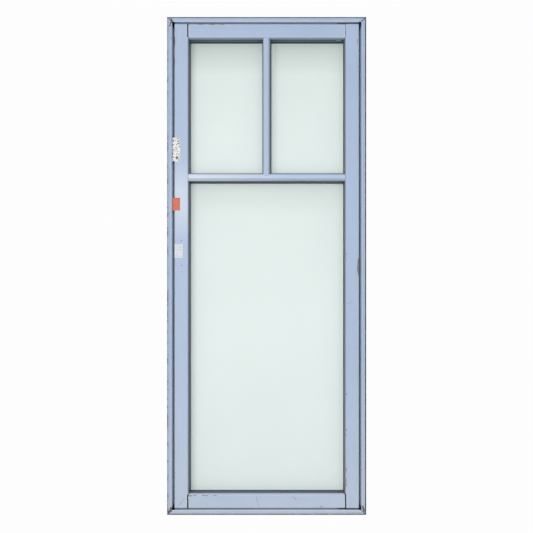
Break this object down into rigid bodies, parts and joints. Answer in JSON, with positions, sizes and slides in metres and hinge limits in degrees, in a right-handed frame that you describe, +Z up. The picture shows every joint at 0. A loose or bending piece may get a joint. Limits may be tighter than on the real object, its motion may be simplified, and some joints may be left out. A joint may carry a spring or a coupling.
{
  "type": "side-hung casement window",
  "caption": "Tall painted timber casement window with a T of rounded glazing bars over one large light, in a slim mitred frame; the sash swings outwards on hidden pivots.",
  "frame": {"origin": "middle of the frame's underside", "axes": "+X to the right as seen from outside, +Y from outside into the room, +Z up"},
  "size_m": [0.6, 0.115, 1.5],
  "materials": {
    "painted_timber": "worn satin paint",
    "clear_glass": "clear",
    "frosted_glass": "frosted",
    "rubber": "matt",
    "spacer_alloy": "mill",
    "nylon": "moulded",
    "brass": "dulled",
    "steel": "zinc plated, dull"
  },
  "bodies": {
    "frame": {"head": "painted_timber", "sill": "painted_timber", "left_jamb": "painted_timber", "right_jamb": "painted_timber", "corner_screws": "steel", "lower_pivot_pin": "steel", "upper_pivot_pin": "steel", "pivot_pin_screws": "steel", "pivot_washers": "nylon", "upper_strike_plate": "brass", "lower_strike_plate": "brass", "strike_screws": "brass"},
    "sash": {"lock_stile": "painted_timber", "hinge_stile": "painted_timber", "top_rail": "painted_timber", "bottom_rail": "painted_timber", "transom_bar": "painted_timber", "mullion_bar": "painted_timber", "weather_seal": "rubber", "setting_blocks": "nylon", "upper_left_outer_pane": "frosted_glass", "upper_left_inner_pane": "clear_glass", "upper_left_spacer": "spacer_alloy", "upper_left_front_gasket": "rubber", "upper_left_back_gasket": "rubber", "upper_left_beads": "painted_timber", "upper_right_outer_pane": "frosted_glass", "upper_right_inner_pane": "clear_glass", "upper_right_spacer": "spacer_alloy", "upper_right_front_gasket": "rubber", "upper_right_back_gasket": "rubber", "upper_right_beads": "painted_timber", "lower_outer_pane": "frosted_glass", "lower_inner_pane": "clear_glass", "lower_spacer": "spacer_alloy", "lower_front_gasket": "rubber", "lower_back_gasket": "rubber", "lower_beads": "painted_timber", "lower_pivot_socket": "steel", "upper_pivot_socket": "steel", "pivot_socket_screws": "steel", "gear_base_plate": "steel", "gear_cover": "steel", "gear_cover_screws": "steel", "bolt_guides": "steel", "guide_screws": "steel"},
    "handle": {"handle_lever": "brass", "handle_spindle": "steel", "pinion": "brass"},
    "upper_bolt": {"upper_bolt": "steel"},
    "lower_bolt": {"lower_bolt": "steel"}
  },
  "joints": [
    {"name": "sash_swing", "type": "hinge", "parent": "frame", "child": "sash", "pos_m": [0.268, -0.0425, 0.75], "axis": [0, 0, 1], "range_deg": [0, 90]},
    {"name": "handle_turn", "type": "hinge", "parent": "sash", "child": "handle", "pos_m": [-0.254, 0.0215, 0.75], "axis": [0, 1, 0], "range_deg": [0, 90]},
    {"name": "upper_bolt_slide", "type": "slide", "parent": "sash", "child": "upper_bolt", "axis": [0, 0, 1], "range_m": [0, 0.0076]},
    {"name": "lower_bolt_slide", "type": "slide", "parent": "sash", "child": "lower_bolt", "axis": [0, 0, -1], "range_m": [0, 0.0076]}
  ],
  "couplings": [
    {"joint": "upper_bolt_slide", "follows": "handle_turn", "m_per_rad": 0.0048},
    {"joint": "lower_bolt_slide", "follows": "handle_turn", "m_per_rad": 0.0048}
  ]
}
